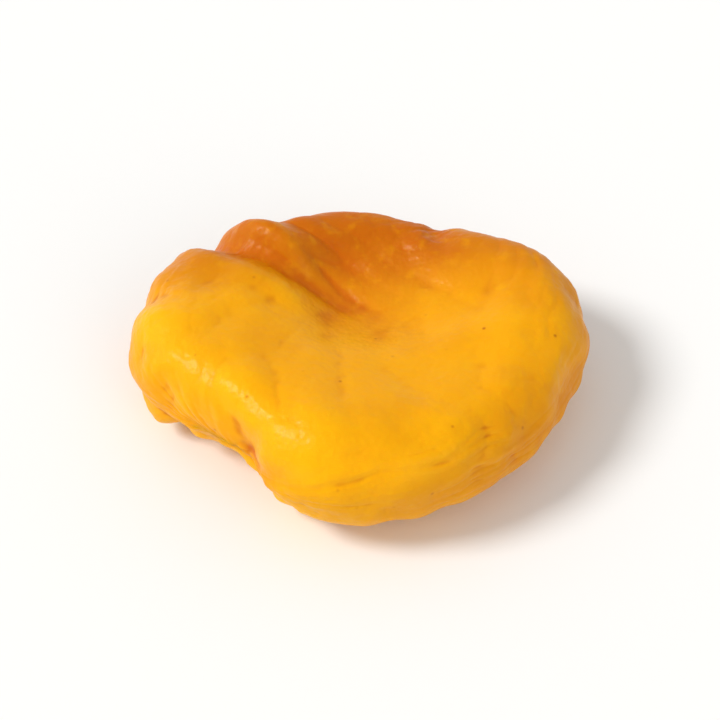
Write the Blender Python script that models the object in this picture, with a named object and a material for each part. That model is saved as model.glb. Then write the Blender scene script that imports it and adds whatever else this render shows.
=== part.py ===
"""A whole dried apricot: stone squeezed out at the stem end, pressed flat, lying on its underside."""

import math
import random

import bmesh
import bpy
import numpy as np
from mathutils import Vector, noise

# Driving dimensions. Lengths are in metres, angles in degrees.
MM = 0.001
LENGTH = 40 * MM  # the widest way across, lobes included
WIDTH = 33 * MM
THICKNESS = 11.5 * MM
BODY_LENGTH = 0.95 * LENGTH  # the plain body, before its lobes and swells
BODY_WIDTH = 0.98 * WIDTH
CENTRE_RISE = 4.7 * MM  # from the widest line up to the middle of the top
RIM_FULLNESS = 6.6 * MM  # how much the rim swells above and below the middle
UNDER_DROP = 5.75 * MM  # from the widest line down to the middle of the underside
UNDER_FULLNESS = 2.2 * MM
UNDER_TUCK = 0.20  # how much narrower the underside is than the widest line
SEAT_DROP = 5.0 * MM  # the underside is flat where it reaches this far down
SEAT_ROUNDING = 0.35 * MM

TIP_LIFT = 0.9 * MM  # how far the tip's end curls up from the seat
LIFT_START = 0.1  # where the curl begins, as a share of the way from the middle to the tip
DISH_PLACE = (2.4 * MM, 6.2 * MM)  # the sunken part of the top, over where the stone was
DISH_RADIUS = 7.4 * MM
DISH_DEPTH = 2.2 * MM
DISH_WANDER = 2.6 * MM  # how far its edge strays from an oval
DISH_WANDER_LENGTH = 9 * MM
DISH_EDGE = 4  # how suddenly the dish ends
DISH_FACING = 0.4  # how far up the skin has to face to sink

# The mesh: squares along each edge of the cube that is blown up into the fruit
SQUARES = 30
SMOOTHING = 0.4  # how far each point then moves towards its neighbours' middle
SEED = 11

# The fruit's own directions, counted anticlockwise from +X as seen from above
STEM_AZIMUTH = 236
TIP_AZIMUTH = 47

# Bulges and hollows of the outline: azimuth, spread in degrees, share of the radius
OUTLINE = (
    (186, 26, 0.045),  # the left lobe
    (270, 22, 0.050),  # the front lobe
    (STEM_AZIMUTH, 10, -0.100),  # the notch between them, at the stem
    (216, 15, -0.140),  # the hollow that leads to it under the left lobe
    (TIP_AZIMUTH, 9, 0.030),  # the tip
    (50, 16, -0.070),
    (20, 16, 0.060),
    (75, 12, 0.030),
    (103, 16, -0.020),
    (143, 13, 0.095),  # the shoulder
    (318, 18, -0.025),
)

# Rises and falls of the rim round the fruit: azimuth, spread in degrees, share of its height
RIM_HEIGHT = (
    (200, 30, 0.16),
    (285, 28, 0.10),
    (STEM_AZIMUTH, 13, -0.05),
    (350, 30, -0.12),
    (85, 34, 0.02),
    (135, 20, -0.08),
)

# Soft dents, and swells where the depth is negative: azimuth, angle down from the top, radius and depth in mm
DENTS = (
    (103, 24, 4.6, 0.9),
    (318, 26, 4.4, 0.4),
    (19, 43, 3.4, 0.5),
    (159, 45, 2.8, 0.3),
    (48, 136, 4.0, 1.0),
    (143, 142, 3.6, 0.8),
    (284, 140, 3.2, 0.7),
    (342, 84, 2.8, 0.8),
    (76, 84, 3.0, 0.9),
    (168, 100, 3.0, 0.8),
    (252, 100, 2.2, 0.4),
    (219, 112, 4.6, 1.6),
    (113, 88, 2.4, 0.3),
    (181, 64, 4.4, -0.7),
    (222, 48, 3.6, -0.5),
    (254, 54, 4.2, -0.7),
    (104, 62, 4.0, -0.4),
    (30, 68, 3.4, -0.5),
)

# Deep folds: path as (azimuth, angle down from the top), width, depth, lip on its left and right in mm
FOLDS = (
    (((134, 100), (135, 72), (134, 50), (126, 31), (104, 15)), 1.25, 1.50, 0.95, 0.15),
    (((150, 38), (157, 26), (160, 12)), 0.90, 0.35, 0.15, 0.15),
    (((163, 86), (168, 62), (178, 44)), 1.00, 0.35, 0.15, 0.15),
    (((60, 106), (66, 76), (64, 56), (52, 40)), 1.05, 0.50, 0.15, 0.30),
    (((8, 98), (14, 74), (26, 54)), 1.00, 0.40, 0.15, 0.20),
    (((298, 90), (304, 68), (320, 50)), 1.00, 0.25, 0.10, 0.10),
    (((95, 122), (104, 98), (106, 72)), 1.05, 0.80, 0.30, 0.30),
    (((206, 92), (200, 118), (188, 140)), 1.05, 0.80, 0.30, 0.30),
    (((20, 100), (28, 124), (46, 144)), 1.15, 0.90, 0.35, 0.35),
    (((330, 92), (324, 114), (320, 138)), 1.05, 0.75, 0.30, 0.30),
    (((120, 110), (128, 132), (148, 148)), 1.15, 0.90, 0.30, 0.40),
    (((268, 108), (262, 128), (262, 146)), 1.05, 0.65, 0.25, 0.25),
)

# A crease deepens and runs out over these shares of its length
FADE_IN = 0.22
FADE_OUT = 0.45
LIP_AWAY = 1.9  # a lip's distance from the valley, and its width, in valley widths
LIP_WIDTH = 1.3

# The suture: the groove down one side of the fruit, from the stem to the tip
SUTURE_POLAR = 90
SUTURE_SAG = 9  # degrees that it runs below the widest line halfway
SUTURE_WIDTH = 0.85 * MM
SUTURE_DEPTH = 0.70 * MM
SUTURE_LIP = 0.32 * MM
SUTURE_WANDER = 3  # degrees up and down the rim
SUTURE_WAVES = 2.5
SUTURE_SHALLOWS = 3  # places where it is half as deep
SUTURE_ENDS = (0.04, 0.10)  # it fades over these shares of its length at the stem and at the tip

# The torn mouth that the stone came out of
MOUTH_POLAR = 97  # just under the widest line
MOUTH_HALF_WIDTH = 2.6 * MM
MOUTH_HALF_HEIGHT = 0.75 * MM
MOUTH_DEPTH = 2.2 * MM
MOUTH_REACH = 4 * MM  # no skin further in than this is pushed

# Puckers that run out from the stem and from the tip
STEM_PUCKERS = 9
STEM_PUCKER_REACH = 30
TIP_PUCKERS = 6
TIP_PUCKER_REACH = 15
PUCKER_LENGTHS = (0.7, 1.25)  # shortest and longest, in reaches
PUCKER_DEPTHS = (0.15 * MM, 0.38 * MM)
PUCKER_WIDTH = 0.75 * MM
PUCKER_LIP = 0.18 * MM
PUCKER_BEND = 4
PUCKER_SCATTER = 0.25  # of the angle between two of them
PUCKER_CORNERS = (0.15, 0.55, 1.0)  # shares of the length at which the path has a corner
TIP_DIMPLE_RADIUS = 0.9 * MM
TIP_DIMPLE_DEPTH = 0.6 * MM

# Small puckers over the rim: they start near the widest line and end on either face
RIM_PUCKERS = 24
RIM_PUCKER_SCATTER = 0.35
RIM_PUCKER_STARTS = (84, 96)
RIM_PUCKER_ENDS = (50, 66)
RIM_PUCKER_LEAN = 14
RIM_PUCKER_DEPTHS = (0.12 * MM, 0.36 * MM)
RIM_PUCKER_WIDTHS = (0.8 * MM, 1.3 * MM)
RIM_PUCKER_LIP = 0.4  # share of the depth

# The skin's wrinkles: rounded swells between narrow valleys
WRINKLE_LENGTH = 5.2 * MM
WRINKLE_HEIGHT = 0.50 * MM
WRINKLE_DRIFT_LENGTH = 11.4 * MM  # the wrinkles bend this gently
WRINKLE_DRIFT = 0.9
WRINKLE_MIDDLE = 0.45  # the folded noise's middle value
SWELL_LENGTH = 13 * MM
SWELL_HEIGHT = 0.55 * MM
SWELL_PLACE = (3.7, 1.3, 8.1)  # where in the noise the swells and the dish's edge are read
DISH_WANDER_PLACE = (5.2, 0.4, 2.9)

SKIN_COLOUR = (0.90, 0.36, 0.025, 1.0)
SKIN_ROUGHNESS = 0.42


def clear_scene():
    for obj in list(bpy.data.objects):
        bpy.data.objects.remove(obj, do_unlink=True)


def bump(angle, centre, spread):
    """1 at the centre, fading to 0 both ways round, all in degrees."""
    apart = np.radians(angle - centre)
    return np.exp((np.cos(apart) - 1) / math.radians(spread) ** 2)


def bumps(azimuth, table):
    return sum(size * bump(azimuth, centre, spread) for centre, spread, size in table)


def direction(azimuth, polar):
    """The unit vector at an azimuth, and at an angle down from the top, in degrees."""
    a, p = math.radians(azimuth), math.radians(polar)
    return np.array([math.sin(p) * math.cos(a), math.sin(p) * math.sin(a), math.cos(p)])


def body(directions):
    """The smooth pressed fruit: where each unit vector's skin lies."""
    across = np.hypot(directions[:, 0], directions[:, 1])
    up = directions[:, 2]
    azimuth = np.degrees(np.arctan2(directions[:, 1], directions[:, 0]))
    edge = 1 + bumps(azimuth, OUTLINE) * across**2
    tall = 1 + bumps(azimuth, RIM_HEIGHT) * across**2
    top = CENTRE_RISE + RIM_FULLNESS * across**2
    under = UNDER_DROP + UNDER_FULLNESS * across**2
    height = up * np.where(up > 0, top, under) * tall
    reach = edge * (1 - UNDER_TUCK * np.minimum(up, 0) ** 2)
    return np.stack(
        [
            directions[:, 0] * BODY_LENGTH / 2 * reach,
            directions[:, 1] * BODY_WIDTH / 2 * reach,
            height,
        ],
        axis=1,
    )


def path_on_body(corners, steps=6):
    """Points on the body along the shortest way from each corner to the next."""
    places = []
    for start, end in zip(corners, corners[1:]):
        a, b = direction(*start), direction(*end)
        places += [a + (b - a) * i / steps for i in range(steps)]
    places.append(direction(*corners[-1]))
    places = np.array(places)
    return body(places / np.linalg.norm(places, axis=1, keepdims=True))


def nearest_on_path(points, normals, path):
    """For each point: its distance from the path, signed by side, and how far along it lies, from 0 to 1."""
    least = np.full(len(points), np.inf)
    along = np.zeros(len(points))
    side = np.ones(len(points))
    spans = len(path) - 1
    for i in range(spans):
        span = path[i + 1] - path[i]
        share = np.clip((points - path[i]) @ span / (span @ span), 0, 1)
        gap = points - path[i] - share[:, None] * span
        distance = np.linalg.norm(gap, axis=1)
        closer = distance < least
        least[closer] = distance[closer]
        along[closer] = (i + share[closer]) / spans
        turned = np.einsum("ij,ij->i", np.cross(span, gap), normals)
        side[closer] = np.where(turned[closer] < 0, -1, 1)
    return least * side, along


def smooth_step(value):
    value = np.clip(value, 0, 1)
    return value * value * (3 - 2 * value)


def crease(points, normals, path, width, depth, left_lip=0.0, right_lip=0.0):
    """How far the skin moves outwards for one crease: a valley, with a lip on each side."""
    offset, along = nearest_on_path(points, normals, path)
    fade = smooth_step(along / FADE_IN) * smooth_step((1 - along) / FADE_OUT)
    valley = np.exp(-((offset / width) ** 2))
    left = np.exp(-(((offset - LIP_AWAY * width) / (LIP_WIDTH * width)) ** 2))
    right = np.exp(-(((offset + LIP_AWAY * width) / (LIP_WIDTH * width)) ** 2))
    return fade * (left_lip * left + right_lip * right - depth * valley)


def folds(points, normals):
    return sum(
        crease(
            points,
            normals,
            path_on_body(corners),
            width * MM,
            depth * MM,
            left * MM,
            right * MM,
        )
        for corners, width, depth, left, right in FOLDS
    )


def suture(points, normals):
    """The groove along the rim, clockwise from the stem, under the left lobe, to the tip."""
    turn = TIP_AZIMUTH - STEM_AZIMUTH
    steps = 12
    corners = []
    for i in range(steps + 1):
        share = i / steps
        sag = SUTURE_SAG * math.sin(math.pi * share)
        wander = SUTURE_WANDER * math.sin(2 * math.pi * SUTURE_WAVES * share)
        corners.append((STEM_AZIMUTH + turn * share, SUTURE_POLAR + sag + wander))
    path = path_on_body(corners, steps=3)
    offset, along = nearest_on_path(points, normals, path)
    fade = smooth_step(along / SUTURE_ENDS[0]) * smooth_step((1 - along) / SUTURE_ENDS[1])
    depth = SUTURE_DEPTH * (0.75 + 0.25 * np.cos(2 * math.pi * SUTURE_SHALLOWS * along))
    valley = np.exp(-((offset / SUTURE_WIDTH) ** 2))
    lips = np.exp(-(((np.abs(offset) - LIP_AWAY * SUTURE_WIDTH) / (LIP_WIDTH * SUTURE_WIDTH)) ** 2))
    return fade * (SUTURE_LIP * lips - depth * valley)


def puckers_round(points, normals, azimuth, count, reach, draw):
    """Creases that run out from one end of the fruit over both faces."""
    total = np.zeros(len(points))
    for i in range(count):
        heading = 2 * math.pi * (i + draw.uniform(-PUCKER_SCATTER, PUCKER_SCATTER)) / count
        length = reach * draw.uniform(*PUCKER_LENGTHS)
        bend = draw.uniform(-PUCKER_BEND, PUCKER_BEND)
        corners = []
        for share in PUCKER_CORNERS:
            sideways = math.cos(heading) * length * share + bend * share**2
            upward = math.sin(heading) * length * share
            corners.append((azimuth + sideways, 90 - upward))
        path = path_on_body(corners)
        depth = draw.uniform(*PUCKER_DEPTHS)
        total += crease(points, normals, path, PUCKER_WIDTH, depth, PUCKER_LIP, PUCKER_LIP)
    return total


def rim_puckers(points, normals, draw):
    """Short creases across the rim, all the way round, on top or below."""
    total = np.zeros(len(points))
    for i in range(RIM_PUCKERS):
        azimuth = 360 * (i + draw.uniform(-RIM_PUCKER_SCATTER, RIM_PUCKER_SCATTER)) / RIM_PUCKERS
        start = draw.uniform(*RIM_PUCKER_STARTS)
        end = draw.uniform(*RIM_PUCKER_ENDS)
        if draw.random() < 0.5:
            end = 180 - end
        lean = draw.uniform(-RIM_PUCKER_LEAN, RIM_PUCKER_LEAN)
        corners = ((azimuth, start), (azimuth + lean / 2, (start + end) / 2), (azimuth + lean, end))
        depth = draw.uniform(*RIM_PUCKER_DEPTHS)
        lip = RIM_PUCKER_LIP * depth
        width = draw.uniform(*RIM_PUCKER_WIDTHS)
        total += crease(points, normals, path_on_body(corners), width, depth, lip, lip)
    return total


def dents(points):
    total = np.zeros(len(points))
    for azimuth, polar, radius, depth in DENTS:
        middle = body(np.array([direction(azimuth, polar)]))[0]
        away = np.linalg.norm(points - middle, axis=1)
        total -= depth * MM * np.exp(-((away / (radius * MM)) ** 2))
    return total


def wrinkles(points):
    """Rounded swells between narrow valleys, from noise that is folded at zero."""
    out = np.empty(len(points))
    for i, point in enumerate(points):
        place = Vector(point)
        drift = noise.noise_vector(place / WRINKLE_DRIFT_LENGTH)
        folded = abs(noise.noise(place / WRINKLE_LENGTH + drift * WRINKLE_DRIFT))
        swell = noise.noise(place / SWELL_LENGTH + Vector(SWELL_PLACE))
        out[i] = WRINKLE_HEIGHT * (math.sqrt(folded) - WRINKLE_MIDDLE) + SWELL_HEIGHT * swell
    return out


def dish(points, normals):
    """The sunken middle: nearly level inside, with an uneven edge."""
    total = np.zeros(len(points))
    for i, point in enumerate(points):
        stray = noise.noise(Vector(point) / DISH_WANDER_LENGTH + Vector(DISH_WANDER_PLACE))
        x = (point[0] - DISH_PLACE[0]) * BODY_WIDTH / BODY_LENGTH
        away = math.hypot(x, point[1] - DISH_PLACE[1]) + DISH_WANDER * stray
        total[i] = -DISH_DEPTH * math.exp(-(max(away, 0) / DISH_RADIUS) ** DISH_EDGE)
    return total * smooth_step(normals[:, 2] / DISH_FACING)


def lifted(points):
    """Curls the tip's end up."""
    toward_tip = points @ direction(TIP_AZIMUTH, 90) / (BODY_LENGTH / 2)
    rise = TIP_LIFT * (np.clip(toward_tip - LIFT_START, 0, None) / (1 - LIFT_START)) ** 2
    return points + rise[:, None] * [0, 0, 1]


def tip_dimple(points):
    tip = body(np.array([direction(TIP_AZIMUTH, 90)]))[0]
    away = np.linalg.norm(points - tip, axis=1)
    return -TIP_DIMPLE_DEPTH * np.exp(-((away / TIP_DIMPLE_RADIUS) ** 2))


def open_mouth(points, smooth_points):
    """Pushes the skin in at the stem, where the stone was squeezed out."""
    stem = body(np.array([direction(STEM_AZIMUTH, MOUTH_POLAR)]))[0]
    inward = -direction(STEM_AZIMUTH, 90)
    sideways = np.cross([0, 0, 1], inward)
    away = smooth_points - stem
    across = (away @ sideways) / MOUTH_HALF_WIDTH
    above = away[:, 2] / MOUTH_HALF_HEIGHT
    behind = smooth_step(1 - (away @ inward) / MOUTH_REACH)
    push = MOUTH_DEPTH * np.exp(-(across**2) - above**2) * behind
    return points + push[:, None] * inward


def seat(points):
    """Flattens the underside below the seat's height, with a soft shoulder round it."""
    low = -SEAT_DROP
    height = points[:, 2]
    reach = np.clip((height - low) / SEAT_ROUNDING, -1, 1)
    eased = low + SEAT_ROUNDING * (reach + 1) ** 2 / 4
    points[:, 2] = np.where(height > low + SEAT_ROUNDING, height, eased)
    return points


def blown_up_cube():
    """A cube of even squares, each corner pushed out to the unit sphere."""
    shape = bmesh.new()
    bmesh.ops.create_cube(shape, size=2)
    bmesh.ops.subdivide_edges(shape, edges=shape.edges[:], cuts=SQUARES - 1, use_grid_fill=True)
    for vertex in shape.verts:
        vertex.co = Vector([math.tan(side * math.pi / 4) for side in vertex.co]).normalized()
    return shape


def coordinates(shape):
    return np.array([vertex.co for vertex in shape.verts])


def smoothed(shape, points):
    """Each point moved part of the way to the middle of its neighbours."""
    move(shape, points)
    bmesh.ops.smooth_vert(
        shape,
        verts=shape.verts[:],
        factor=SMOOTHING,
        use_axis_x=True,
        use_axis_y=True,
        use_axis_z=True,
    )
    return coordinates(shape)


def fitted(points):
    """Brings the fruit to its overall size, with the origin in the middle of its underside."""
    low = points.min(axis=0)
    size = points.max(axis=0) - low
    middle = low + size * [0.5, 0.5, 0]
    return (points - middle) * [LENGTH, WIDTH, THICKNESS] / size


def move(shape, points):
    for vertex, point in zip(shape.verts, points):
        vertex.co = point
    shape.normal_update()


def apricot_mesh():
    draw = random.Random(SEED)
    noise.seed_set(SEED)
    shape = blown_up_cube()
    smooth_points = body(coordinates(shape))
    move(shape, smooth_points)
    normals = np.array([vertex.normal for vertex in shape.verts])
    rise = dish(smooth_points, normals)
    rise += dents(smooth_points)
    rise += folds(smooth_points, normals)
    rise += suture(smooth_points, normals)
    rise += puckers_round(smooth_points, normals, STEM_AZIMUTH, STEM_PUCKERS, STEM_PUCKER_REACH, draw)
    rise += puckers_round(smooth_points, normals, TIP_AZIMUTH, TIP_PUCKERS, TIP_PUCKER_REACH, draw)
    rise += rim_puckers(smooth_points, normals, draw)
    rise += wrinkles(smooth_points)
    rise += tip_dimple(smooth_points)
    points = open_mouth(smooth_points + rise[:, None] * normals, smooth_points)
    points = smoothed(shape, lifted(points))
    move(shape, fitted(seat(points)))
    mesh = bpy.data.meshes.new("apricot")
    shape.to_mesh(mesh)
    shape.free()
    mesh.shade_smooth()
    return mesh


def skin_material():
    material = bpy.data.materials.new("dried_skin")
    material.use_nodes = True
    shader = material.node_tree.nodes["Principled BSDF"]
    shader.inputs["Base Color"].default_value = SKIN_COLOUR
    shader.inputs["Roughness"].default_value = SKIN_ROUGHNESS
    shader.inputs["Metallic"].default_value = 0.0
    return material


def main():
    clear_scene()
    mesh = apricot_mesh()
    mesh.materials.append(skin_material())
    apricot = bpy.data.objects.new("apricot", mesh)
    bpy.context.scene.collection.objects.link(apricot)


main()
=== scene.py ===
# %% [markdown]
# A dried apricot
#
# This lesson dresses a plain solid as a whole dried apricot. The real fruit is picked ripe, its stone
# is squeezed out through the stem end, and it dries on a tray until the plump ball has sunk into a soft,
# leathery cushion. What the eye reads is mostly skin: wide soft dents, folds that bite in from the rim,
# fine streaks that run from stem to tip, and flesh that glows where light gets into it.
#
# The solid already has the true size and the main folds. The steps are: set up the studio, wrap a fine
# even mesh round the solid, deepen its folds, wrinkle the skin, tear the mouth, mark what is fold and
# what is ridge, and let the material read those marks.

# %% Load the solid
import math

import bmesh
import bpy
import numpy as np
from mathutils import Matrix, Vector, noise


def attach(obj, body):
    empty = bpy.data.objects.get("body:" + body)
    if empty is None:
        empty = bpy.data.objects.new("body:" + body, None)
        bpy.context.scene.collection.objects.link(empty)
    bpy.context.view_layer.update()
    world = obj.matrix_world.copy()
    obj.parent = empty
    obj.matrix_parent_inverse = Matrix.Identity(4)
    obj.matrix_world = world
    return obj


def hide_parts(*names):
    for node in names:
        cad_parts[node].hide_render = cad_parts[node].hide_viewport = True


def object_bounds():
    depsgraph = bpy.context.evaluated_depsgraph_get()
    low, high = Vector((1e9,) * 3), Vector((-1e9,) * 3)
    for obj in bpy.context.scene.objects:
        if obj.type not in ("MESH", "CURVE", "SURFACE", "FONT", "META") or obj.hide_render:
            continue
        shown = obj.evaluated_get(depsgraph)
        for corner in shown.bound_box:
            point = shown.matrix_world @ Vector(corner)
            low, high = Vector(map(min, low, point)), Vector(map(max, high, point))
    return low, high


MM = 0.001
SEED = 11

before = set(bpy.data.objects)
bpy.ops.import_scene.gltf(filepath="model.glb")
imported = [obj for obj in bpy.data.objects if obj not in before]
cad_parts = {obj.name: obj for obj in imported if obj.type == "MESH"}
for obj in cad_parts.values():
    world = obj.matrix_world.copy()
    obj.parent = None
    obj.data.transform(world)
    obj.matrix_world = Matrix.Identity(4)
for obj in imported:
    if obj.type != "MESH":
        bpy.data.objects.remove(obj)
solid_low, solid_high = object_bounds()
solid_middle = (solid_low + solid_high) / 2
solid_size = solid_high - solid_low
noise.seed_set(SEED)
print("solid, mm:", [round(side / MM, 1) for side in solid_size])

# %% [markdown]
# The studio
#
# Food on a white table is lit by one large soft lamp from the side, so that every dent casts a gentle
# shade, and a wide weak one opposite, so that no fold turns black. Both are made as suns of a wide apparent
# size, because a lamp that stands near lights the table in a pool and leaves its far side grey. A pale room
# fills the rest. It is brightest at the horizon, as in a studio with white walls, so that the table runs
# into it without an edge. The plain view transform keeps the strong orange: a filmic one would wash it
# towards salmon.

# %% Table
FLOOR_SIDE = 3.0
FLOOR_COLOUR = (0.90, 0.90, 0.89, 1.0)
FLOOR_ROUGHNESS = 0.6


def plain_material(name, colour, roughness):
    material = bpy.data.materials.new(name)
    material.use_nodes = True
    shader = material.node_tree.nodes["Principled BSDF"]
    shader.inputs["Base Color"].default_value = colour
    shader.inputs["Roughness"].default_value = roughness
    return material


def make_floor():
    shape = bmesh.new()
    bmesh.ops.create_grid(shape, x_segments=1, y_segments=1, size=FLOOR_SIDE / 2)
    mesh = bpy.data.meshes.new("table_top")
    shape.to_mesh(mesh)
    shape.free()
    mesh.materials.append(plain_material("pale_table", FLOOR_COLOUR, FLOOR_ROUGHNESS))
    floor = bpy.data.objects.new("table_top", mesh)
    bpy.context.scene.collection.objects.link(floor)


make_floor()
print("table", FLOOR_SIDE, "m wide")

# %% Surrounding light
ROOM_COLOUR = (1.0, 0.99, 0.97, 1.0)
HORIZON_STRENGTH = 0.95
CEILING_STRENGTH = 0.55
WALL_TOP = 0.5  # the sine of the elevation above which the room has its ceiling's strength


def make_world():
    world = bpy.data.worlds.new("pale_room")
    world.use_nodes = True
    tree = world.node_tree
    way = tree.nodes.new("ShaderNodeTexCoord")
    height = tree.nodes.new("ShaderNodeSeparateXYZ")
    tree.links.new(way.outputs["Generated"], height.inputs["Vector"])
    strength = tree.nodes.new("ShaderNodeMapRange")
    strength.inputs["From Max"].default_value = WALL_TOP
    strength.inputs["To Min"].default_value = HORIZON_STRENGTH
    strength.inputs["To Max"].default_value = CEILING_STRENGTH
    tree.links.new(height.outputs["Z"], strength.inputs["Value"])
    background = tree.nodes["Background"]
    background.inputs["Color"].default_value = ROOM_COLOUR
    tree.links.new(strength.outputs["Result"], background.inputs["Strength"])
    bpy.context.scene.world = world


make_world()
bpy.context.scene.view_settings.view_transform = "Standard"
print("room:", HORIZON_STRENGTH, "at the horizon,", CEILING_STRENGTH, "overhead")

# %% Lamps
# name: azimuth, elevation and apparent width in degrees, and strength
LAMPS = {
    "window": (186, 46, 20, 2.15),
    "bounce": (305, 28, 40, 0.42),
}


def way_from(azimuth, elevation):
    """The direction in which something stands, seen from the fruit; angles in degrees."""
    around, up = math.radians(azimuth), math.radians(elevation)
    return Vector((math.cos(up) * math.cos(around), math.cos(up) * math.sin(around), math.sin(up)))


def make_lamp(name, azimuth, elevation, width, strength):
    light = bpy.data.lights.new(name, "SUN")
    light.angle = math.radians(width)
    light.energy = strength
    lamp = bpy.data.objects.new(name, light)
    lamp.rotation_mode = "QUATERNION"
    lamp.rotation_quaternion = way_from(azimuth, elevation).to_track_quat("Z", "Y")
    bpy.context.scene.collection.objects.link(lamp)


for name, settings in LAMPS.items():
    make_lamp(name, *settings)
print("lamps:", ", ".join(LAMPS))

# %% [markdown]
# The camera
#
# It looks at the fruit's broad, sunken face from the front and well above, which is the way the fruit
# shows itself best. A long lens from a hand's width away keeps the near rim from looming.

# %% Camera
CAMERA_AZIMUTH = 270  # degrees: in front, on the -Y side
CAMERA_ELEVATION = 48  # degrees above the table
CAMERA_DISTANCE = 172 * MM
LENS = 100
CLIP_START = 10 * MM


def make_camera():
    back = way_from(CAMERA_AZIMUTH, CAMERA_ELEVATION)
    lens = bpy.data.cameras.new("camera")
    lens.lens = LENS
    lens.clip_start = CLIP_START
    camera = bpy.data.objects.new("camera", lens)
    camera.location = solid_middle + back * CAMERA_DISTANCE
    camera.rotation_mode = "QUATERNION"
    camera.rotation_quaternion = (-back).to_track_quat("-Z", "Y")
    bpy.context.scene.collection.objects.link(camera)
    bpy.context.scene.camera = camera


make_camera()
print("camera", CAMERA_ELEVATION, "degrees up,", round(CAMERA_DISTANCE / MM), "mm away")

# %% [markdown]
# A smooth fruit under the skin
#
# The solid is made of flat triangles about a millimetre wide. Skin needs squares four times finer, and
# all of one size, so that a wrinkle looks the same wherever it runs. One could subdivide the solid's own
# triangles, but they are uneven on the flat underside. So the solid's copy is merged, turned back into
# squares and subdivided, which rounds it off, and then serves only as a form to wrap a fresh mesh round.

# %% The rounded form
MERGE = 1e-6
JOIN_ANGLE = 0.7  # radians: pairs of triangles bent less than this become one square
ROUNDING_LEVELS = 2


def new_object(name, shape):
    mesh = bpy.data.meshes.new(name)
    shape.to_mesh(mesh)
    shape.free()
    made = bpy.data.objects.new(name, mesh)
    bpy.context.scene.collection.objects.link(made)
    return made


def rounded_form():
    """A copy of the solid with its triangles merged into squares and subdivided."""
    shape = bmesh.new()
    shape.from_mesh(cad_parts["apricot"].data)
    bmesh.ops.remove_doubles(shape, verts=shape.verts, dist=MERGE)
    bmesh.ops.join_triangles(
        shape,
        faces=shape.faces,
        angle_face_threshold=JOIN_ANGLE,
        angle_shape_threshold=JOIN_ANGLE,
    )
    form = new_object("form", shape)
    rounding = form.modifiers.new("rounding", "SUBSURF")
    rounding.levels = ROUNDING_LEVELS
    rounding.render_levels = ROUNDING_LEVELS
    return form


form = rounded_form()
print("form:", len(form.data.polygons), "faces before rounding")

# %% [markdown]
# The blank
#
# The fresh mesh starts as a cube. Its squares are pushed out to a ball, evenly, and the ball is pressed
# into a tablet of the fruit's size: level in the middle, fullest near the edge. Every point is then sent
# along its own normal until it meets the form. A ball made this way has no poles, so no wrinkle
# gathers where mesh lines crowd.

# %% The ball
SQUARES = 124  # along each edge of the cube


def positions(mesh):
    flat = np.empty(len(mesh.vertices) * 3, np.float32)
    mesh.vertices.foreach_get("co", flat)
    return flat.reshape(-1, 3).astype(float)


def ball():
    """A cube's squares pushed out to a ball. The tangent keeps them about equal all over it."""
    shape = bmesh.new()
    bmesh.ops.create_cube(shape, size=2)
    bmesh.ops.subdivide_edges(shape, edges=shape.edges[:], cuts=SQUARES - 1, use_grid_fill=True)
    for vertex in shape.verts:
        vertex.co = Vector([math.tan(side * math.pi / 4) for side in vertex.co]).normalized()
    return new_object("apricot_skin", shape)


skin = ball()
WAYS = positions(skin.data)  # each point's direction in the ball, kept for the wrinkles
print("ball:", len(WAYS), "points,", 2 * len(skin.data.polygons), "triangles")

# %% The tablet
MIDDLE_SHARE = 0.80  # of the half thickness, in the tablet's middle
RIM_SHARE = 0.75  # how much the tablet swells towards the edge


def pressed(ways):
    """Where the points of a ball lie once it is pressed into a tablet of the fruit's size."""
    across = np.hypot(ways[:, 0], ways[:, 1])
    height = ways[:, 2] * (MIDDLE_SHARE + RIM_SHARE * across**2)
    flat = np.stack([ways[:, 0], ways[:, 1], height], axis=1)
    return np.array(solid_middle) + flat * np.array(solid_size) / 2


def place_points(mesh, points):
    mesh.vertices.foreach_set("co", points.astype(np.float32).ravel())
    mesh.update()


def extent(mesh):
    """Length, width and height in millimetres."""
    points = positions(mesh)
    return np.round((points.max(axis=0) - points.min(axis=0)) / MM, 2)


place_points(skin.data, pressed(WAYS))
print("tablet, mm:", extent(skin.data))

# %% Wrap it round the form
def wrapped(piece, target):
    wrap = piece.modifiers.new("wrap", "SHRINKWRAP")
    wrap.target = target
    wrap.wrap_method = "PROJECT"
    wrap.use_negative_direction = True
    wrap.use_positive_direction = True
    depsgraph = bpy.context.evaluated_depsgraph_get()
    points = positions(piece.evaluated_get(depsgraph).data)
    piece.modifiers.remove(wrap)
    return points


place_points(skin.data, wrapped(skin, form))
bpy.data.objects.remove(form)
print("wrapped, mm:", extent(skin.data))

# %% Let it settle
SETTLING = 3  # rounds of smoothing
SMOOTHING_STEP = 0.5


def edge_ends(mesh):
    flat = np.empty(len(mesh.edges) * 2, np.int32)
    mesh.edges.foreach_get("vertices", flat)
    return flat.reshape(-1, 2).T


def smoothed(mesh, rows, rounds):
    """Moves each point's row, a place or a value, half way to its neighbours' mean, so many times."""
    starts, ends = edge_ends(mesh)
    neighbours = np.bincount(starts) + np.bincount(ends)
    for _ in range(rounds):
        means = np.empty_like(rows)
        for column, side in enumerate(rows.T):
            means[:, column] = np.bincount(starts, side[ends]) + np.bincount(ends, side[starts])
        rows = rows + SMOOTHING_STEP * (means / neighbours[:, None] - rows)
    return rows


place_points(skin.data, smoothed(skin.data, positions(skin.data), SETTLING))
print("settled, mm:", extent(skin.data))

# %% [markdown]
# Deeper folds
#
# A fold in dried skin is narrow and dark at the bottom, with plump sides. The solid's folds are wide,
# because its triangles are. Sculptors sharpen by comparing a form with a blurred copy of itself: what lies
# below the blurred form is a hollow, and what lies above it is a ridge. Here the hollows are pushed
# further in, and the ridges a little out.

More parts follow.
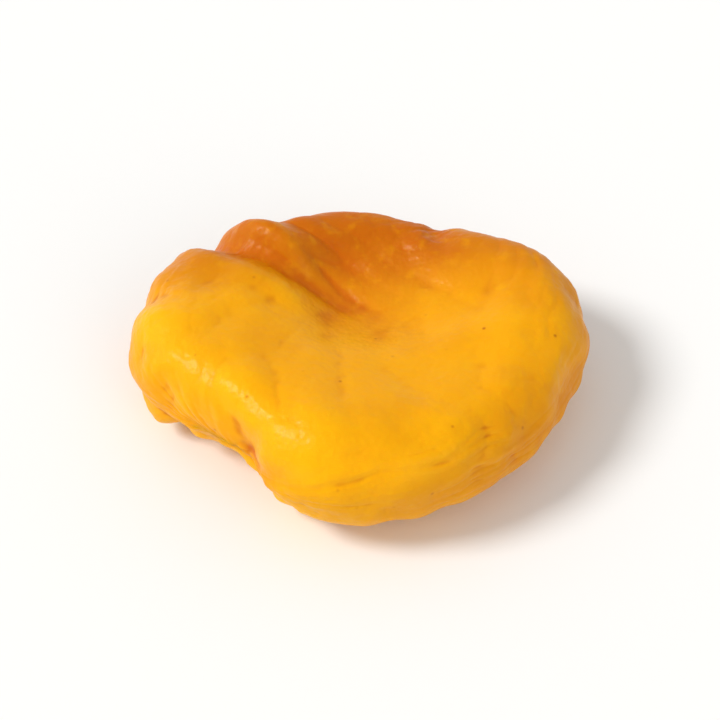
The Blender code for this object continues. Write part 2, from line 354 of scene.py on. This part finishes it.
# %% Hollows and ridges
BLUR_ROUNDS = 24
HOLLOW_PUSH = 0.85
RIDGE_PUSH = 0.25


def normals(mesh):
    flat = np.empty(len(mesh.vertices) * 3, np.float32)
    mesh.vertex_normals.foreach_get("vector", flat)
    return flat.reshape(-1, 3).astype(float)


def relief(mesh, rounds):
    """How far each point stands out from the blurred form, in metres; hollows are negative."""
    points = positions(mesh)
    return np.einsum("ij,ij->i", points - smoothed(mesh, points, rounds), normals(mesh))


def push_out(mesh, distances):
    """Moves each point along its normal, inwards where the distance is negative."""
    place_points(mesh, positions(mesh) + distances[:, None] * normals(mesh))


def print_range(name, distances):
    low, high = distances.min() / MM, distances.max() / MM
    print(name, "from", round(low, 2), "to", round(high, 2), "mm")


heights = relief(skin.data, BLUR_ROUNDS)
push_out(skin.data, np.where(heights < 0, HOLLOW_PUSH, RIDGE_PUSH) * heights)
print_range("relief", heights)

# %% [markdown]
# Stem and tip
#
# Everything on the skin is ordered by two places: the stem end, in the notch, where the fruit hung and
# where its stone came out, and the tip, opposite. Their places could be typed in, but would be wrong as
# soon as the solid changed. So the script looks for them: the stem is the innermost point of the notch,
# and the tip is the outermost point of the rim in its own direction.

# %% Find them
STEM_AZIMUTH = math.radians(236)
TIP_AZIMUTH = math.radians(47)
SEARCH = math.radians(8)
RIM_BAND = (0.28, 0.58)  # the rim stands out furthest between these shares of the height


def turn_from(points, azimuth):
    angles = np.arctan2(points[:, 1], points[:, 0])
    return np.abs((angles - azimuth + math.pi) % (2 * math.pi) - math.pi)


def rim_point(points, azimuth, innermost):
    """The point of the rim at an azimuth: of those in the rim's band, the nearest or furthest one."""
    low, high = (share * solid_size.z for share in RIM_BAND)
    near = (turn_from(points, azimuth) < SEARCH) & (points[:, 2] > low) & (points[:, 2] < high)
    chosen = points[near]
    reach = np.hypot(chosen[:, 0], chosen[:, 1])
    return chosen[reach.argmin() if innermost else reach.argmax()]


points = positions(skin.data)
STEM = rim_point(points, STEM_AZIMUTH, innermost=True)
TIP = rim_point(points, TIP_AZIMUTH, innermost=False)
print("stem", np.round(STEM / MM, 1), "tip", np.round(TIP / MM, 1), "mm")

# %% [markdown]
# Wrinkles
#
# Skin shrinks less than the flesh under it, so it gathers. The finest gathers run like the lines on a
# globe from stem to tip. Short ones cross the rim, where the skin had furthest to fall. Between them the
# skin crumples without order, and where the top has sunk it lies in a few larger pleats. They could be
# sculpted one by one. Here all four are noise, read on a stretched place, because one number then makes
# them coarser, finer or deeper all round the fruit. Noise that is folded at zero gives a narrow valley
# between round swells, which is how a wrinkle is shaped.

# %% Noise that wrinkles
VALLEY_ROUNDING = 0.03
SWELL_LEVEL = 0.6  # taken off, so that wrinkles sink in about as far as they stand out
# where each use reads the noise, so that no two of one size rise and fall together
OFFSETS = {
    "streak bend": 0,
    "streak waver": 31,
    "streak patches": 3.1,
    "gather lean": 7,
    "gather waver": 41,
    "crumple patches": 5.9,
    "pleat bend": 13,
    "mouth edge": 0,
    "lip fray": 20,
}


def noise_on(places):
    return np.array([noise.noise(Vector(place)) for place in places])


def noise_over(points, size, use):
    """Noise with features of a size in metres."""
    return noise_on(points / size + OFFSETS[use])


def wrinkled(places):
    """Round swells between narrow, round-bottomed valleys, from about -0.4 to 0.3."""
    return np.sqrt(np.hypot(noise_on(places), VALLEY_ROUNDING)) - SWELL_LEVEL


def smooth_step(value):
    value = np.clip(value, 0, 1)
    return value * value * (3 - 2 * value)


points = positions(skin.data)
print("a valley's bottom is at", round(math.sqrt(VALLEY_ROUNDING) - SWELL_LEVEL, 2))

# %% Streaks from stem to tip
# how many fit round the fruit, divided by 2 pi, and their height
STREAKS = ((3.6, 0.22 * MM), (7.5, 0.16 * MM), (11.0, 0.06 * MM))
STREAK_STRETCH = 1.6  # noise units from the fruit's middle to its tip
STREAK_BEND = 0.35  # noise units
STREAK_START = 0.35  # they fade out nearer to the axis than this share of the fruit's half width
PATCH_SIZE = 7 * MM  # wrinkles bend, come and go over this distance
WAVER_SIZE = 3 * MM  # wrinkles waver from side to side over this distance
WAVER = 0.05  # by about this angle round the fruit, in radians
TINY = 1e-6  # keeps a division away from zero


def globe(ways):
    """Each point's place on a globe whose poles are stem and tip.

    It is given as a unit circle round the axis, the way towards the tip, and the distance from the axis.
    """
    axis = np.array([math.cos(STEM_AZIMUTH), math.sin(STEM_AZIMUTH), 0])
    sideways = np.array([-axis[1], axis[0], 0])
    round_about = np.stack([ways @ sideways, ways[:, 2]], axis=1)
    from_axis = np.linalg.norm(round_about, axis=1)
    circle = round_about / np.maximum(from_axis, TINY)[:, None]
    return circle, -(ways @ axis), from_axis


def streaks(points):
    circle, towards_tip, from_axis = globe(WAYS)
    total = np.zeros(len(points))
    bend = noise_over(points, PATCH_SIZE, "streak bend") * STREAK_BEND
    waver = noise_over(points, WAVER_SIZE, "streak waver") * WAVER
    for count, height in STREAKS:
        aside = bend + waver * count
        along = towards_tip * STREAK_STRETCH + count
        places = np.stack([circle[:, 0] * count + aside, circle[:, 1] * count - aside, along], axis=1)
        total += wrinkled(places) * height
    return total * smooth_step(from_axis / STREAK_START)


streak_rise = streaks(points)
print_range("streaks", streak_rise)

# %% Gathers across the rim
GATHERS = 11.0  # how many fit round the rim, divided by 2 pi
GATHER_HEIGHT = 0.11 * MM
GATHER_LEAN = 0.6  # noise units
GATHER_STRETCH = 2.0  # noise units from the middle to the top
GATHER_END = 0.75  # they have faded out at this share of the half thickness


def rim_gathers(points):
    level = WAYS / np.maximum(np.hypot(WAYS[:, 0], WAYS[:, 1]), TINY)[:, None]
    lean = noise_over(points, PATCH_SIZE, "gather lean") * GATHER_LEAN
    lean += noise_over(points, WAVER_SIZE, "gather waver") * WAVER * GATHERS
    along = WAYS[:, 2] * GATHER_STRETCH
    places = np.stack([level[:, 0] * GATHERS + lean, level[:, 1] * GATHERS, along], axis=1)
    near_rim = smooth_step(1 - np.abs(WAYS[:, 2]) / GATHER_END)
    return wrinkled(places) * near_rim * GATHER_HEIGHT


gather_rise = rim_gathers(points)
print_range("gathers", gather_rise)

# %% Crumpled skin
# size and height
CRUMPLES = ((2.1 * MM, 0.15 * MM), (1.0 * MM, 0.07 * MM))
DRIFT = 0.6  # how far the crumples are pulled out of line, in their own sizes
DRIFT_SIZE = 2  # over how many of their own sizes


def crumple(points):
    total = np.zeros(len(points))
    for size, height in CRUMPLES:
        drift = np.array([noise.noise_vector(Vector(place)) for place in points / (DRIFT_SIZE * size)])
        total += wrinkled(points / size + DRIFT * drift) * height
    return total


crumple_rise = crumple(points)
print_range("crumples", crumple_rise)

# %% Pleats where the top has sunk
# they lie side by side, and run the same way as the shoulder's fold
PLEAT_AZIMUTH = math.radians(-30)
PLEAT_PLACE = np.array([-3.5 * MM, 9.0 * MM])
PLEAT_REACH = np.array([9.5 * MM, 5.5 * MM])  # along them and across them
PLEAT_EDGE = 1.4  # how steeply they rise from the end of their reach
PLEAT_LENGTH = 11 * MM
PLEAT_SPACING = 2.0 * MM
PLEAT_BEND = 0.4  # of the spacing
PLEAT_HEIGHT = 0.70 * MM
PLEAT_TOP = 0.3  # they are whole above this share of the half thickness


def pleats(points):
    along = np.array([math.cos(PLEAT_AZIMUTH), math.sin(PLEAT_AZIMUTH)])
    across = np.array([-along[1], along[0]])
    away = points[:, :2] - PLEAT_PLACE
    ahead, aside = away @ along, away @ across
    reach = np.hypot(ahead / PLEAT_REACH[0], aside / PLEAT_REACH[1])
    bend = noise_over(points, PATCH_SIZE, "pleat bend") * PLEAT_BEND
    places = np.stack([ahead / PLEAT_LENGTH, aside / PLEAT_SPACING + bend, 0 * ahead], axis=1)
    on_top = smooth_step(WAYS[:, 2] / PLEAT_TOP)
    return wrinkled(places) * PLEAT_HEIGHT * smooth_step(PLEAT_EDGE * (1 - reach)) * on_top


pleat_rise = pleats(points)
print_range("pleats", pleat_rise)

# %% Calm and wild patches
CALM = 0.15  # what is left of the wrinkles in the calmest patch
WILD_SHIFT, WILD_GAIN = 0.4, 1.2  # a larger shift makes more of it wild, a larger gain the change sharper
PLUMP_START = 0.15  # the broad face, above this share of the half thickness, wrinkles less
PLUMP_SHARE = 0.45


def patches(points, use):
    """How strongly the wrinkles show in each patch of skin, at most 1."""
    wild = smooth_step(WILD_SHIFT + WILD_GAIN * noise_over(points, PATCH_SIZE, use))
    plump = smooth_step((WAYS[:, 2] - PLUMP_START) / (1 - PLUMP_START))
    return (CALM + (1 - CALM) * wild) * (1 - PLUMP_SHARE * plump)


streaky = patches(points, "streak patches")
rise = streak_rise * streaky
rise += gather_rise * (1 + CALM - streaky)  # where streaks are strong, gathers are weak
rise += crumple_rise * patches(points, "crumple patches")
rise += pleat_rise
push_out(skin.data, rise)
print_range("all wrinkles", rise)

# %% [markdown]
# The torn mouth and the tip's scar
#
# Squeezing the stone out tears the skin at the stem. The lips dry first, so they are ragged, a little
# raised and dark. The tip keeps a small hard scar where the flower sat, in a dimple. A mouth could be cut
# into the mesh, but its edge would be thin and clean. Both are shaped instead by how far each point is
# from them, with noise to fray the edge.

# %% The torn mouth
MOUTH_HALF_WIDTH = 3.4 * MM
MOUTH_HALF_HEIGHT = 0.85 * MM
MOUTH_REACH = 2.5 * MM  # skin further in than this, such as the tip's, doesn't belong to the mouth
MOUTH_DEPTH = 0.5 * MM
MOUTH_END = 1.25  # the tear starts to sink here; distances count 1 at the mouth's edge
LIP_HEIGHT = 0.22 * MM
LIP_PLACE, LIP_WIDTH = 1.5, 0.55
EDGE_FRAY = 0.35
FRAY_SIZE = 0.9 * MM
FRAY_HEIGHT = 0.20 * MM
FRAY_END, FRAY_FADE = 3, 2


def mouth_distance(points):
    """1 on the edge of the oval mouth, less inside it, frayed by noise."""
    inward = -STEM / np.linalg.norm(STEM[:2]) * [1, 1, 0]
    sideways = np.array([-inward[1], inward[0], 0])
    away = points - STEM
    deep = away @ inward
    across = np.hypot((away @ sideways) / MOUTH_HALF_WIDTH, away[:, 2] / MOUTH_HALF_HEIGHT)
    fray = EDGE_FRAY * noise_over(points, FRAY_SIZE, "mouth edge")
    behind = np.clip(deep - MOUTH_REACH, 0, None) / MM
    return across + fray + behind


def tear(points):
    from_mouth = mouth_distance(points)
    inside = smooth_step(MOUTH_END - from_mouth)
    lip = np.exp(-(((from_mouth - LIP_PLACE) / LIP_WIDTH) ** 2))
    fray = FRAY_HEIGHT * noise_over(points, FRAY_SIZE, "lip fray")
    fray = fray * smooth_step((FRAY_END - from_mouth) / FRAY_FADE)
    return -MOUTH_DEPTH * inside + LIP_HEIGHT * lip + fray


points = positions(skin.data)
tear_rise = tear(points)
print_range("tear", tear_rise)

# %% The tip's scar
SCAR_RADIUS = 0.75 * MM
SCAR_DEPTH = 0.30 * MM
DIMPLE_WIDTH, BUTTON_WIDTH = 1.6, 0.5  # in scar radii
BUTTON_SHARE = 0.5  # of the depth, by which the scar stands up in its dimple


def scar(points):
    away = np.linalg.norm(points - TIP, axis=1) / SCAR_RADIUS
    dimple = -SCAR_DEPTH * np.exp(-((away / DIMPLE_WIDTH) ** 2))
    button = BUTTON_SHARE * SCAR_DEPTH * np.exp(-((away / BUTTON_WIDTH) ** 2))
    return dimple + button


scar_rise = scar(points)
push_out(skin.data, tear_rise + scar_rise)
print_range("scar", scar_rise)

# %% [markdown]
# Settle on the table
#
# A soft fruit flattens where it rests. A simulation could press it down, but the solid already has its
# flat spot, so it is enough that nothing sinks below the table: what the wrinkles pushed under it is
# brought back up. The skin also keeps within the solid's size: if wrinkles made it a hair larger, it is
# shrunk by that hair.

# %% Flatten and fit
def settled(points):
    points = points.copy()
    points[:, 2] = np.maximum(points[:, 2], solid_low.z)
    low, high = points.min(axis=0), points.max(axis=0)
    share = np.minimum(1, np.array(solid_size) / (high - low))
    middle = np.array([*((low + high) / 2)[:2], solid_low.z])
    target = np.array([solid_middle.x, solid_middle.y, solid_low.z])
    return target + (points - middle) * share


place_points(skin.data, settled(positions(skin.data)))
print("skin, mm:", extent(skin.data))

# %% [markdown]
# Marks for the material
#
# The colour of a dried apricot follows its form. Ridges dry pale and yellow, and are painted lighter still
# where light would catch them as a highlight. Folds hold juice and turn deep orange, and are painted darker
# as shade would fall in them. The tear is brown. A texture can't know which is which, so each point is
# given five marks, which the material reads as attributes. Three say how far it stands out or lies in,
# against a wide, a middling and a narrow stretch of the skin round it. The other two are ripeness, with
# painted shade on the far side, and scar.

# %% Three widths of relief
# rounds of blurring, the relief that counts as full, and rounds of softening, so that a thin dark line
# has soft sides and no gaps
RELIEF_MARKS = {
    "zone": (1400, 1.6 * MM, 0),
    "broad": (160, 0.45 * MM, 0),
    "fine": (10, 0.065 * MM, 3),
}


def mark(mesh, name, values):
    attribute = mesh.attributes.new(name, "FLOAT", "POINT")
    attribute.data.foreach_set("value", values.astype(np.float32))
    print(name, "from", round(float(values.min()), 2), "to", round(float(values.max()), 2))


def relief_mark(mesh, rounds, full, softening):
    """From -1 in a hollow to 1 on a ridge."""
    heights = relief(mesh, rounds)[:, None]
    return np.clip(smoothed(mesh, heights, softening)[:, 0] / full, -1, 1)


for name, settings in RELIEF_MARKS.items():
    mark(skin.data, name, relief_mark(skin.data, *settings))

# %% Ripeness and painted shade
# on the far side the deeper orange is painted shade, as of a shadow falling over that part of the top; on
# the flanks and towards the end away from the stem it is deeper too
FAR_AZIMUTH = math.radians(90)
FAR_START, FAR_FULL = 0.3 * MM, 12.5 * MM  # how far that way the skin starts to deepen, and is deepest
FAR_SHADE_SHARE = 0.92
FLANK_SHARE = 0.30
FLANK_HEIGHT = 0.6  # of the half thickness
RIGHT_START, RIGHT_FULL = 5 * MM, 16 * MM  # the end away from the stem is a little riper too
RIGHT_SHARE = 0.20


def ripeness_and_painted_shade(points):
    """How deep the orange is: little on the broad face, more on the flanks, most on the far side, where it
    is painted shade.
    """
    way = np.array([math.cos(FAR_AZIMUTH), math.sin(FAR_AZIMUTH), 0])
    far_painted_shade = FAR_SHADE_SHARE * smooth_step((points @ way - FAR_START) / (FAR_FULL - FAR_START))
    flank = FLANK_SHARE * smooth_step(1 - np.abs(WAYS[:, 2]) / FLANK_HEIGHT)
    right = RIGHT_SHARE * smooth_step((points[:, 0] - RIGHT_START) / (RIGHT_FULL - RIGHT_START))
    return np.maximum(far_painted_shade, flank) + right * (1 - far_painted_shade)


points = positions(skin.data)
mark(skin.data, "ripeness_and_painted_shade", ripeness_and_painted_shade(points))

# %% Scars
MOUTH_MARK = 0.75
MOUTH_MARK_END = 1.1  # where 1 is the mouth's edge
TIP_MARK_END = 1.5  # in scar radii


def scar_mark(points):
    mouth = MOUTH_MARK * smooth_step((MOUTH_MARK_END - mouth_distance(points)) / MOUTH_MARK_END)
    tip = smooth_step(TIP_MARK_END - np.linalg.norm(points - TIP, axis=1) / SCAR_RADIUS)
    return np.maximum(mouth, tip)


mark(skin.data, "scar", scar_mark(points))

# %% [markdown]
# The skin's colour
#
# A dried apricot isn't one orange but several, laid over each other: gold to start with, yellow on what
# stands out, partly its paler tone and partly a painted highlight, deep orange on the riper side, which on
# the far side is painted shade, amber where juice has gathered in a fold, deepened further by painted
# shade, and brown on the scars. They could be painted by hand on an unwrapped picture. Here each layer
# follows a mark or a noise, so that it fits the form at any distance. The noise reads Object coordinates,
# so it stays fixed to the fruit.

# %% Start the material
def add_node(tree, kind, **settings):
    node = tree.nodes.new(kind)
    for name, value in settings.items():
        setattr(node, name, value)
    return node


def set_inputs(node, **values):
    for name, value in values.items():
        node.inputs[name.replace("_", " ")].default_value = value
    return node


material = bpy.data.materials.new("dried_apricot_skin")
material.use_nodes = True
tree = material.node_tree
shader = tree.nodes["Principled BSDF"]
coordinates = add_node(tree, "ShaderNodeTexCoord").outputs["Object"]
print("material", material.name, "on", coordinates.name, "coordinates")

# %% Layers that follow a mark
# a Mix node lists its sockets for plain numbers first, so those for colours stand at these places
FACTOR, UNDER, OVER, MIXED = 0, 6, 7, 2


def attribute(tree, name):
    return add_node(tree, "ShaderNodeAttribute", attribute_name=name).outputs["Fac"]


def spread(tree, value, low, high, new_low=0.0, new_high=1.0):
    """Stretches the range low to high over new_low to new_high, smoothly, and clamps it."""
    node = add_node(tree, "ShaderNodeMapRange", interpolation_type="SMOOTHSTEP")
    set_inputs(node, From_Min=low, From_Max=high, To_Min=new_low, To_Max=new_high)
    tree.links.new(value, node.inputs["Value"])
    return node.outputs["Result"]


def mix_colour(tree, share, under, over):
    """Lays one colour over another. Each is a colour or a socket."""
    node = add_node(tree, "ShaderNodeMix", data_type="RGBA")
    tree.links.new(share, node.inputs[FACTOR])
    for socket, value in ((node.inputs[UNDER], under), (node.inputs[OVER], over)):
        if isinstance(value, tuple):
            socket.default_value = value
        else:
            tree.links.new(value, socket)
    return node.outputs[MIXED]


def layered(tree, colour, layers):
    for name, start, full, share, tint in layers:
        amount = spread(tree, attribute(tree, name), start, full, 0.0, share)
        colour = mix_colour(tree, amount, colour, tint)
    return colour


print("marks to follow:", ", ".join([*RELIEF_MARKS, "ripeness_and_painted_shade", "scar"]))

# %% Swells: paler tone and painted highlight
GOLD = (0.87, 0.375, 0.001, 1.0)
YELLOW = (0.91, 0.45, 0.001, 1.0)
# each layer: the mark that it follows, where it starts, where it is full, its share there, its colour
# yellow on what stands out is partly the paler tone of dried ridges and partly a painted highlight where
# light would catch the lobe and the crest
SWELL_TONE_AND_HIGHLIGHT = (
    ("zone", 0.05, 0.9, 0.7, YELLOW),
    ("broad", 0.1, 1.0, 0.5, YELLOW),
)

colour = layered(tree, GOLD, SWELL_TONE_AND_HIGHLIGHT)
print("swells:", len(tree.nodes), "nodes so far")

# %% Riper skin and painted shade
ORANGE = (0.55, 0.130, 0.001, 1.0)
CLOUD_SIZE = 8 * MM
CLOUD_DETAIL = 3
CLOUD_RANGE = (0.35, 0.65)
CLOUD_SHARE = 0.12


def noise_texture(tree, coordinates, size, detail, roughness=0.5):
    """Noise with features of a size in metres, from 0 to 1."""
    node = add_node(tree, "ShaderNodeTexNoise")
    set_inputs(node, Scale=1 / size, Detail=detail, Roughness=roughness)
    tree.links.new(coordinates, node.inputs["Vector"])
    return node.outputs["Fac"]


def calculate(tree, operation, first, second):
    node = add_node(tree, "ShaderNodeMath", operation=operation)
    for socket, value in zip(node.inputs, (first, second)):
        if isinstance(value, (int, float)):
            socket.default_value = value
        else:
            tree.links.new(value, socket)
    return node.outputs["Value"]


def ripened_and_shaded(tree, coordinates, colour):
    """Orange over the colour, as the mark of ripeness and painted shade says, with clouds to break its
    edge.
    """
    cloud = noise_texture(tree, coordinates, CLOUD_SIZE, CLOUD_DETAIL)
    cloud = spread(tree, cloud, *CLOUD_RANGE, -CLOUD_SHARE, CLOUD_SHARE)
    deep = calculate(tree, "ADD", attribute(tree, "ripeness_and_painted_shade"), cloud)
    return mix_colour(tree, deep, colour, ORANGE)


colour = ripened_and_shaded(tree, coordinates, colour)
print("ripeness:", len(tree.nodes), "nodes so far")

# %% Juice and painted shade in the hollows
AMBER = (0.58, 0.13, 0.001, 1.0)
# amber in the hollows is partly the deeper tone of juice in a fold and partly painted shade that darkens
# dents, creases and the sunken top
HOLLOW_TONE_AND_SHADE = (
    ("zone", -0.15, -0.9, 0.3, AMBER),
    ("broad", -0.15, -1.0, 0.58, AMBER),
    ("fine", -0.05, -0.8, 0.85, AMBER),
)

colour = layered(tree, colour, HOLLOW_TONE_AND_SHADE)
print("hollows:", len(tree.nodes), "nodes so far")

# %% Mottle and specks
MOTTLE_SIZE = 1.3 * MM
MOTTLE_DETAIL = 4
MOTTLE_RANGE = (0.5, 0.75)
MOTTLE_SHARE = 0.2
SPECK = (0.42, 0.065, 0.001, 1.0)
SPECK_SPACING = 1.5 * MM
SPECK_REACH = 0.17  # a speck's radius, as a share of the spacing
SPECK_CHANCE = 0.25
FAINTEST_SPECK, STRONGEST_SPECK = 0.2, 0.85


def mottle_share(tree, coordinates):
    mottle = noise_texture(tree, coordinates, MOTTLE_SIZE, MOTTLE_DETAIL)
    return spread(tree, mottle, *MOTTLE_RANGE, 0.0, MOTTLE_SHARE)


def speck_share(tree, coordinates):
    """Small dots in the middle of a few of the cells that space is divided into."""
    cells = add_node(tree, "ShaderNodeTexVoronoi")
    set_inputs(cells, Scale=1 / SPECK_SPACING)
    tree.links.new(coordinates, cells.inputs["Vector"])
    drawn = add_node(tree, "ShaderNodeSeparateColor")
    tree.links.new(cells.outputs["Color"], drawn.inputs["Color"])
    lot = drawn.outputs["Red"]
    chosen = spread(tree, lot, 1 - SPECK_CHANCE, 1.0, FAINTEST_SPECK, STRONGEST_SPECK)
    dot = spread(tree, cells.outputs["Distance"], SPECK_REACH, 0.0)
    any_here = calculate(tree, "GREATER_THAN", lot, 1 - SPECK_CHANCE)
    return calculate(tree, "MULTIPLY", calculate(tree, "MULTIPLY", dot, chosen), any_here)


colour = mix_colour(tree, mottle_share(tree, coordinates), colour, YELLOW)
colour = mix_colour(tree, speck_share(tree, coordinates), colour, SPECK)
print("mottle and specks:", len(tree.nodes), "nodes so far")

# %% Scarred skin
BROWN = (0.28, 0.055, 0.002, 1.0)
SCARS = (
    ("scar", 0.0, 0.4, 0.8, AMBER),
    ("scar", 0.25, 0.9, 0.95, BROWN),
)

colour = layered(tree, colour, SCARS)
tree.links.new(colour, shader.inputs["Base Color"])
print("colour:", len(tree.nodes), "nodes")

# %% [markdown]
# Gloss, pores and glow
#
# The skin is moist in places and dry in others, and full of pores, so its gloss breaks up into small
# lights. An even roughness would look like plastic, so noise varies it, and pores and grain are added as
# a bump, because they are finer than the mesh. The flesh is a stiff jelly: light goes in, spreads about
# a millimetre, mostly as red and yellow, and comes out again. Subsurface scattering does that, and
# without it the fruit looks like painted clay. A thin coat over it all is the moisture.

# %% Broken gloss
GLOSS_SIZE = 2.2 * MM
GLOSS_DETAIL = 3
GLOSS_RANGE = (0.3, 0.7)
SMOOTHEST, ROUGHEST = 0.36, 0.54

gloss = noise_texture(tree, coordinates, GLOSS_SIZE, GLOSS_DETAIL)
roughness = spread(tree, gloss, *GLOSS_RANGE, SMOOTHEST, ROUGHEST)
tree.links.new(roughness, shader.inputs["Roughness"])
print("roughness from", SMOOTHEST, "to", ROUGHEST)

# %% Pores and grain
PORE_SIZE = 0.5 * MM
PORE_SOFTNESS = 0.6
GRAIN_SIZE = 0.7 * MM
GRAIN_DETAIL = 5
GRAIN_ROUGHNESS = 0.6
GRAIN_HEIGHT = 0.07 * MM
GRAIN_STRENGTH = 0.6


def skin_grain(tree, coordinates):
    pores = add_node(tree, "ShaderNodeTexVoronoi", feature="SMOOTH_F1")
    set_inputs(pores, Scale=1 / PORE_SIZE, Smoothness=PORE_SOFTNESS)
    tree.links.new(coordinates, pores.inputs["Vector"])
    grain = noise_texture(tree, coordinates, GRAIN_SIZE, GRAIN_DETAIL, GRAIN_ROUGHNESS)
    height = calculate(tree, "ADD", pores.outputs["Distance"], grain)
    bump = add_node(tree, "ShaderNodeBump")
    set_inputs(bump, Strength=GRAIN_STRENGTH, Distance=GRAIN_HEIGHT)
    tree.links.new(height, bump.inputs["Height"])
    return bump.outputs["Normal"]


grain = skin_grain(tree, coordinates)
for name in ("Normal", "Coat Normal"):
    tree.links.new(grain, shader.inputs[name])
print("grain:", len(tree.nodes), "nodes in all")

# %% Glow and moisture
SKIN_CONSTANTS = {
    "Subsurface Weight": 0.3,
    "Subsurface Radius": (1.0, 0.38, 0.03),
    "Subsurface Scale": 1.2 * MM,
    "IOR": 1.28,
    "Specular Tint": (1.0, 0.80, 0.25, 1.0),
    "Coat Weight": 0.10,
    "Coat Roughness": 0.23,
}

for name, value in SKIN_CONSTANTS.items():
    shader.inputs[name].default_value = value
skin.data.materials.append(material)
skin.data.shade_smooth()
print("skin wears", skin.data.materials[0].name)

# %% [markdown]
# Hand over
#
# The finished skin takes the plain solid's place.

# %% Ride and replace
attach(skin, "root")
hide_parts("apricot")
